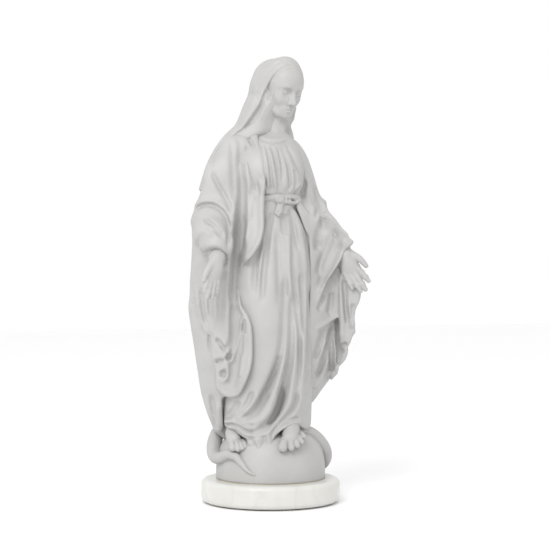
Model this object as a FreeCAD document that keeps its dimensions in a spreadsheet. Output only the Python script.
"""Free-standing statue of a standing veiled lady on a globe, cast in marble dust and resin.

The figure, its globe and the serpent on the globe are one hollow casting.  The foot of the casting is
filled with a core that grips a threaded rod, and the rod clamps the casting to a turned marble disc.
Both hands are cast on their own and pinned into the mouths of the sleeves.

Millimetres, +Z up.  The origin is the centre of the resting face.  The lady faces -Y, so her right hand
is on the -X side.  The casting is set out in units: one unit is a four-hundredth of the total height.
"""

import FreeCAD, Part

import os

import Sketcher
from FreeCAD import Placement, Rotation, Vector

DRIVING_SIZES = {
    "total_height": 400,
    "felt_thick": 1,
    "felt_diameter": 108,
    "base_diameter": 123,
    "base_thick": 20,
    "base_round": 4.5,
    "bond_thick": 0.5,
    "bond_diameter": 97,
    "globe_diameter": 96,
    "globe_height": 38,
    "serpent_ring": 46,
    "serpent_radius": 7,
    "core_top": 118,
    "rod_diameter": 8,
    "rod_clearance": 1,
    "rod_length": 88,
    "rod_start": 2.2,
    "rod_chamfer": 1,
    "recess_diameter": 28,
    "recess_depth": 10,
    "washer_diameter": 24,
    "washer_thick": 1.6,
    "nut_corners": 15,
    "nut_thick": 6.5,
    "dowel_diameter": 3,
    "dowel_length": 18,
    "wrist_depth": 8,
    "wrist_diameter": 12,
    "mouth_diameter": 22,
    "mouth_rim": 3,
}

DERIVED_SIZES = {
    "unit": "=total_height / 400",
    "base_top": "=felt_thick + base_thick",
    "cast_bottom": "=base_top + bond_thick",
    "recess_roof": "=felt_thick + recess_depth",
    "rod_hole": "=rod_diameter + rod_clearance",
    "rod_end": "=rod_start + rod_length",
}

# Each section of a garment is a level ellipse: height, centre across, centre back, half width, half depth.
TUNIC_SECTIONS = [
    (50, -4, -7, 33, 28),
    (68, -5, -7, 33, 29),
    (90, -6, -8, 34, 31),
    (150, -8, -10, 36, 33),
    (210, -5, -6, 36, 32),
    (262, -3, -2, 31, 28),
    (300, -4, 2, 33, 27),
    (322, -3, 5, 22, 20),
    (344, 0, 3, 14, 14),
]
MANTLE_SECTIONS = [
    (66, -12, 13, 40, 22),
    (110, -5, 12, 58, 33),
    (160, 0, 10, 73, 36),
    (205, 2, 10, 76, 37),
    (250, -2, 8, 66, 36),
    (290, -6, 9, 50, 33),
    (318, -6, 11, 36, 28),
    (340, -2, 9, 23, 22),
]
# The hollow inside the casting, above the globe; the last section closes it under the shoulders.
HOLLOW_SECTIONS = [
    (44, -3, -2, 26, 22),
    (66, -5, -4, 24, 20),
    (110, -6, -2, 27, 24),
    (160, -5, 0, 38, 27),
    (205, -3, 1, 44, 26),
    (250, -3, 3, 38, 23),
    (290, -5, 5, 26, 17),
]
FLOOR_HOLLOW = 34  # radius of the hollow where the globe is bonded to the disc

VEIL = {"centre": (3, 2, 362), "radii": (23, 27, 38), "turn": 20}
HEAD = {"centre": (6, -8, 356), "radii": (15, 19, 21), "turn": 20}
RIGHT_FOOT = {"centre": (-31, -9, 52), "radii": (9, 15, 6), "turn": -60}
LEFT_FOOT = {"centre": (3, -33, 54), "radii": (9, 15, 6), "turn": -10}

# Where each wrist leaves its sleeve, the way the fingers point, and the way the palm faces.
WRISTS = {
    "right": {"at": (-62, -31, 223), "along": (-20, -12, -42), "palm": (-2, -10, 4), "thumb": -1},
    "left": {"at": (57, -31, 223), "along": (18, -8, -35), "palm": (-2, -10, 4), "thumb": 1},
}
SHOULDERS = {"right": (-30, 6, 306), "left": (24, 6, 306)}
SLEEVE_LENGTH = 40
ELBOW_RADIUS = 20
SHOULDER_RADIUS = 17
FINGER_LENGTHS = (17, 19, 18, 14)  # from the index finger to the little finger
FINGER_PITCH = 4.2
FINGER_SPREAD = 0.008  # sideways lean for each unit that a finger stands off the middle of the palm
FINGER_CURL = 0.2

DOC = FreeCAD.newDocument("statue")
SHEET = DOC.addObject("Spreadsheet::Sheet", "sizes")


def fill_sheet():
    """Writes the driving sizes and what follows from them, one alias to a cell."""
    cells = {**DRIVING_SIZES, **DERIVED_SIZES}
    for row, (alias, value) in enumerate(cells.items(), start=1):
        SHEET.set(f"A{row}", alias)
        SHEET.set(f"B{row}", str(value))
        SHEET.setAlias(f"B{row}", alias)
    DOC.recompute()


def bind(thing, **expressions):
    """Binds properties to expressions over the sheet."""
    for name, expression in expressions.items():
        thing.setExpression(name, expression)
    return thing


def units(number):
    """The expression for a length given in units."""
    return f"{number} * sizes.unit"


def place(thing, x, y, z, rotation=None):
    """Puts an object at x, y, z, given as expressions, with a fixed rotation."""
    thing.Placement = Placement(Vector(), rotation or Rotation())
    for axis, expression in (("x", x), ("y", y), ("z", z)):
        thing.setExpression(f"Placement.Base.{axis}", expression)
    return thing


def place_units(thing, point, rotation=None):
    """Puts an object at a point given in units."""
    return place(thing, *(units(number) for number in point), rotation)


def new(kind, name, label=None):
    """A new object of the document; only a finished sub-part is given a label of its own."""
    thing = DOC.addObject(kind, name)
    thing.Label = label or f"{name}_feature"
    return thing


# ---- features that several sub-parts use ----


def origin_plane(body, role):
    """One of a body's own origin planes."""
    return next(plane for plane in body.Origin.OriginFeatures if plane.Role == role)


def circle_sketch(body, name, diameter, height):
    """A circle about the Z axis on the body's XY plane, lifted to a height."""
    sketch = body.newObject("Sketcher::SketchObject", name)
    sketch.AttachmentSupport = [(origin_plane(body, "XY_Plane"), "")]
    sketch.MapMode = "FlatFace"
    sketch.addGeometry(Part.Circle(Vector(), Vector(0, 0, 1), 10), False)
    sketch.addConstraint(Sketcher.Constraint("Coincident", 0, 3, -1, 1))
    sketch.addConstraint(Sketcher.Constraint("Diameter", 0, 20))
    sketch.renameConstraint(1, "diameter")
    sketch.setExpression("Constraints.diameter", diameter)
    sketch.setExpression("AttachmentOffset.Base.z", height)
    return sketch


def pad(body, name, sketch, length):
    """Extrudes a sketch upwards."""
    feature = body.newObject("PartDesign::Pad", name)
    feature.Profile = sketch
    feature.setExpression("Length", length)
    DOC.recompute()
    return feature


def pocket_up(body, name, diameter, height, depth):
    """A round pocket cut upwards from a height; the volume has to fall."""
    before = body.Shape.Volume
    feature = body.newObject("PartDesign::Pocket", name)
    feature.Profile = circle_sketch(body, f"{name}_sketch", diameter, height)
    feature.Reversed = True
    feature.setExpression("Length", depth)
    DOC.recompute()
    if body.Shape.Volume >= before:
        raise RuntimeError(f"{name} cuts nothing")
    return feature


def round_edges(feature, radius):
    """The names of a feature's circular edges of one radius."""
    names = []
    for number, edge in enumerate(feature.Shape.Edges, start=1):
        if isinstance(edge.Curve, Part.Circle) and abs(edge.Curve.Radius - radius) < 1e-6:
            names.append(f"Edge{number}")
    return names


def cylinder(name, diameter, height):
    """A plain cylinder."""
    thing = new("Part::Cylinder", name)
    return bind(thing, Radius=f"({diameter}) / 2", Height=height)


def cut(name, base, tool, label=None):
    """The base less the tool."""
    thing = new("Part::Cut", name, label)
    thing.Base = base
    thing.Tool = tool
    return thing


def fuse(name, pieces, label=None):
    """The union of several pieces."""
    thing = new("Part::MultiFuse", name, label)
    thing.Shapes = pieces
    return thing


def ellipse_section(name, section):
    """A level ellipse, wider than it is deep."""
    height, across, back, half_width, half_depth = section
    ellipse = new("Part::Ellipse", name)
    bind(ellipse, MajorRadius=units(half_width), MinorRadius=units(half_depth))
    return place_units(ellipse, (across, back, height))


def loft(name, sections):
    """A smooth solid through closed sections."""
    thing = new("Part::Loft", name)
    thing.Sections = sections
    thing.Solid = True
    return thing


def garment(name, sections):
    """A smooth solid through level ellipses."""
    ellipses = [ellipse_section(f"{name}_section_{row}", section) for row, section in enumerate(sections)]
    return loft(name, ellipses)


def ellipsoid(name, shape):
    """An upright ellipsoid, turned about Z by an angle in degrees."""
    radius_x, radius_y, radius_z = shape["radii"]
    thing = new("Part::Ellipsoid", name)
    bind(thing, Radius1=units(radius_z), Radius2=units(radius_x), Radius3=units(radius_y))
    return place_units(thing, shape["centre"], Rotation(Vector(0, 0, 1), shape["turn"]))


def hand_frame(side):
    """The rotation of a hand: Z along the fingers, Y out of the palm."""
    wrist = WRISTS[side]
    along = Vector(*wrist["along"]).normalize()
    palm = Vector(*wrist["palm"])
    return Rotation(palm.cross(along), palm, along, "ZYX")


def on_wrist(thing, side, setback="0"):
    """Puts an object at a wrist, set back up the sleeve by a distance given as an expression."""
    wrist = WRISTS[side]
    along = Vector(*wrist["along"]).normalize()
    spots = [f"{at} * sizes.unit - ({setback}) * {step}" for at, step in zip(wrist["at"], along)]
    return place(thing, *spots, hand_frame(side))


# ---- the sub-parts ----


def felt_disc():
    """The soft disc under the base, which the statue rests on."""
    disc = cylinder("felt_disc", "sizes.felt_diameter", "sizes.felt_thick")
    disc.Label = "felt_disc"
    return disc


def marble_base():
    """A turned marble disc with both rims rounded, drilled for the rod and recessed for the nut."""
    body = new("PartDesign::Body", "marble_base", "marble_base")
    outline = circle_sketch(body, "base_outline", "sizes.base_diameter", "sizes.felt_thick")
    disc = pad(body, "base_disc", outline, "sizes.base_thick")
    rims = body.newObject("PartDesign::Fillet", "base_rims")
    rims.Base = (disc, round_edges(disc, DRIVING_SIZES["base_diameter"] / 2))
    rims.setExpression("Radius", "sizes.base_round")
    DOC.recompute()
    pocket_up(body, "base_rod_hole", "sizes.rod_hole", "sizes.felt_thick", "sizes.base_thick")
    pocket_up(body, "base_recess", "sizes.recess_diameter", "sizes.felt_thick", "sizes.recess_depth")
    return body


def adhesive_bed():
    """The thin bed of adhesive between the globe and the disc, with the rod's hole in it."""
    body = new("PartDesign::Body", "adhesive_bed", "adhesive_bed")
    outline = circle_sketch(body, "bond_outline", "sizes.bond_diameter", "sizes.base_top")
    pad(body, "bond_disc", outline, "sizes.bond_thick")
    pocket_up(body, "bond_rod_hole", "sizes.rod_hole", "sizes.base_top", "sizes.bond_thick")
    return body


def globe():
    """The upper half of a flattened ball, its equator on the adhesive."""
    dome = new("Part::Ellipsoid", "globe")
    dome.Angle1 = 0
    bind(dome, Radius1="sizes.globe_height", Radius2="sizes.globe_diameter / 2")
    bind(dome, Radius3="sizes.globe_diameter / 2")
    return place(dome, "0", "0", "sizes.cast_bottom")


def serpent():
    """The serpent's body, a tilted ring round the globe that is open at the front."""
    open_turn = 100
    ring = new("Part::Torus", "serpent")
    ring.Angle3 = 360 - open_turn
    bind(ring, Radius1=units("sizes.serpent_ring"), Radius2=units("sizes.serpent_radius"))
    gap = Rotation(Vector(0, 0, 1), -90 + open_turn / 2)
    tilt = Rotation(Vector(1, 0, 0), 8)
    return place(ring, "0", "0", units(40), tilt.multiply(gap))


def elbow_point(side):
    """Where the forearm meets the upper arm, in units."""
    wrist = WRISTS[side]
    return Vector(*wrist["at"]) - Vector(*wrist["along"]).normalize() * SLEEVE_LENGTH


def sleeve(side):
    """A forearm in its sleeve, from the elbow to the sleeve's mouth."""
    thing = new("Part::Cone", f"{side}_sleeve")
    bind(thing, Radius1=units(ELBOW_RADIUS), Height=units(SLEEVE_LENGTH))
    bind(thing, Radius2="sizes.mouth_diameter / 2 + sizes.mouth_rim")
    return on_wrist(thing, side, units(SLEEVE_LENGTH))


def elbow(side):
    """The rounded elbow under the mantle."""
    ball = new("Part::Sphere", f"{side}_elbow")
    bind(ball, Radius=units(ELBOW_RADIUS))
    return place_units(ball, tuple(elbow_point(side)))


def upper_arm(side):
    """The upper arm under the mantle, from the elbow to the shoulder."""
    start = elbow_point(side)
    reach = Vector(*SHOULDERS[side]) - start
    thing = new("Part::Cone", f"{side}_upper_arm")
    bind(thing, Radius1=units(ELBOW_RADIUS), Radius2=units(SHOULDER_RADIUS), Height=units(reach.Length))
    return place_units(thing, tuple(start), Rotation(Vector(0, 0, 1), reach))


def sleeve_mouth(side):
    """The open mouth of a sleeve, as deep as the wrist goes in."""
    thing = cylinder(f"{side}_mouth", "sizes.mouth_diameter", "sizes.wrist_depth")
    return on_wrist(thing, side, "sizes.wrist_depth")


def dowel(side, name, label=None):
    """A dowel across the joint between a wrist and the floor of its sleeve's mouth."""
    thing = cylinder(name, "sizes.dowel_diameter", "sizes.dowel_length")
    if label:
        thing.Label = label
    return on_wrist(thing, side, "sizes.wrist_depth + sizes.dowel_length / 2")


def hollow():
    """The space inside the casting, from the globe's foot to below the shoulders."""
    floor = new("Part::Circle", "hollow_floor")
    bind(floor, Radius=units(FLOOR_HOLLOW))
    place(floor, "0", "0", "sizes.cast_bottom")
    rows = enumerate(HOLLOW_SECTIONS)
    upper = [ellipse_section(f"hollow_section_{row}", section) for row, section in rows]
    return loft("hollow", [floor, *upper])


def figure_casting(space):
    """The hollow casting: globe, serpent, feet, tunic, mantle, veil and head, with its sleeves open."""
    pieces = [globe(), serpent()]
    pieces.append(ellipsoid("right_foot", RIGHT_FOOT))
    pieces.append(ellipsoid("left_foot", LEFT_FOOT))
    pieces.append(garment("tunic", TUNIC_SECTIONS))
    pieces.append(garment("mantle", MANTLE_SECTIONS))
    pieces.append(ellipsoid("veil", VEIL))
    pieces.append(ellipsoid("head", HEAD))
    for side in WRISTS:
        pieces += [sleeve(side), elbow(side), upper_arm(side)]
    outside = fuse("casting_outside", pieces)
    openings = [space]
    openings.extend(sleeve_mouth(side) for side in WRISTS)
    openings.extend(dowel(side, f"{side}_dowel_hole") for side in WRISTS)
    inside = fuse("casting_inside", openings)
    return cut("figure_casting", outside, inside, "figure_casting")


def rod_bore(name):
    """The space that the threaded rod fills."""
    thing = cylinder(name, "sizes.rod_diameter", "sizes.rod_length")
    return place(thing, "0", "0", "sizes.rod_start")


def core_fill(space):
    """The filler in the lower part of the hollow, set round the rod."""
    slab = cylinder("core_slab", "2 * sizes.base_diameter", "sizes.core_top - sizes.cast_bottom")
    place(slab, "0", "0", "sizes.cast_bottom")
    lower = new("Part::Common", "core_lower")
    lower.Base = space
    lower.Tool = slab
    return cut("core_fill", lower, rod_bore("core_rod_bore"), "core_fill")


def threaded_rod():
    """The rod that ties the casting to the base; its thread is left out."""
    body = new("PartDesign::Body", "threaded_rod", "threaded_rod")
    outline = circle_sketch(body, "rod_outline", "sizes.rod_diameter", "sizes.rod_start")
    shank = pad(body, "rod_shank", outline, "sizes.rod_length")
    ends = body.newObject("PartDesign::Chamfer", "rod_ends")
    lower_edge = min(round_edges(shank, DRIVING_SIZES["rod_diameter"] / 2), key=lambda name: height_of(shank, name))
    ends.Base = (shank, [lower_edge])
    ends.setExpression("Size", "sizes.rod_chamfer")
    DOC.recompute()
    return body


def height_of(feature, edge_name):
    """How high a named edge lies."""
    return feature.Shape.getElement(edge_name).CenterOfMass.z


def washer():
    """The flat washer under the roof of the recess."""
    plate = cylinder("washer_plate", "sizes.washer_diameter", "sizes.washer_thick")
    place(plate, "0", "0", "sizes.recess_roof - sizes.washer_thick")
    return cut("washer", plate, rod_bore("washer_bore"), "washer")


def nut():
    """The hexagon nut below the washer; its thread is left out."""
    blank = new("Part::Prism", "nut_blank")
    blank.Polygon = 6
    bind(blank, Circumradius="sizes.nut_corners / 2", Height="sizes.nut_thick")
    place(blank, "0", "0", "sizes.recess_roof - sizes.washer_thick - sizes.nut_thick")
    return cut("nut", blank, rod_bore("nut_bore"), "nut")


def digit(name, root, along, length, root_radius, tip_radius):
    """A finger or thumb: a cone with a ball at its tip, in the hand's own frame."""
    direction = Vector(*along).normalize()
    turn = Rotation(Vector(0, 0, 1), direction)
    shank = new("Part::Cone", f"{name}_shank")
    bind(shank, Radius1=units(root_radius), Radius2=units(tip_radius), Height=units(length))
    place_units(shank, root, turn)
    ball = new("Part::Sphere", f"{name}_tip")
    bind(ball, Radius=units(tip_radius))
    place_units(ball, tuple(Vector(*root) + direction * length))
    return [shank, ball]


def hand(side):
    """An open hand with its wrist, drilled for the dowel."""
    thumb_side = WRISTS[side]["thumb"]
    wrist = cylinder(f"{side}_wrist", "sizes.wrist_diameter", "2 * sizes.wrist_depth")
    place(wrist, "0", "0", "-sizes.wrist_depth")
    palm = ellipsoid(f"{side}_palm", {"centre": (0, 0, 13), "radii": (9.5, 4.8, 12), "turn": 0})
    pieces = [wrist, palm]
    for number, length in enumerate(FINGER_LENGTHS):
        across = (1.5 - number) * FINGER_PITCH * thumb_side
        lean = (across * FINGER_SPREAD, FINGER_CURL, 1)
        pieces += digit(f"{side}_finger_{number}", (across, 0, 20), lean, length, 2.7, 1.9)
    root = (6 * thumb_side, 1, 6)
    pieces += digit(f"{side}_thumb", root, (0.45 * thumb_side, 0.3, 0.85), 15, 3.2, 2.3)
    blank = fuse(f"{side}_hand_blank", pieces)
    bore = cylinder(f"{side}_hand_bore", "sizes.dowel_diameter", "sizes.dowel_length / 2")
    place(bore, "0", "0", "-sizes.wrist_depth")
    thing = cut(f"{side}_hand", blank, bore, f"{side}_hand")
    return on_wrist(thing, side)


def wrist_pin(side):
    """The steel dowel that holds a hand in its sleeve."""
    return dowel(side, f"{side}_wrist_pin", f"{side}_wrist_pin")


def build():
    """Makes every sub-part and returns them."""
    fill_sheet()
    space = hollow()
    parts = [felt_disc(), marble_base(), adhesive_bed(), figure_casting(space), core_fill(space)]
    parts += [threaded_rod(), washer(), nut()]
    for side in WRISTS:
        parts += [hand(side), wrist_pin(side)]
    DOC.recompute()
    return parts


def check(parts):
    """Stops if a feature failed or a sub-part isn't one sound solid."""
    for thing in DOC.Objects:
        if "Invalid" in thing.State or "Error" in thing.State:
            raise RuntimeError(f"{thing.Name} failed: {thing.State}")
    for part in parts:
        if part.Shape.isNull() or not part.Shape.isValid() or len(part.Shape.Solids) != 1:
            raise RuntimeError(f"{part.Label} isn't one sound solid")


def write(parts):
    """Writes each sub-part to a file named by its label."""
    os.makedirs("parts", exist_ok=True)
    for part in parts:
        part.Shape.exportStep(f"parts/{part.Label}.step")
        box = part.Shape.BoundBox
        print(f"{part.Label}: {part.Shape.Volume:.0f} mm3, z {box.ZMin:.1f} to {box.ZMax:.1f}")


finished = build()
check(finished)
write(finished)
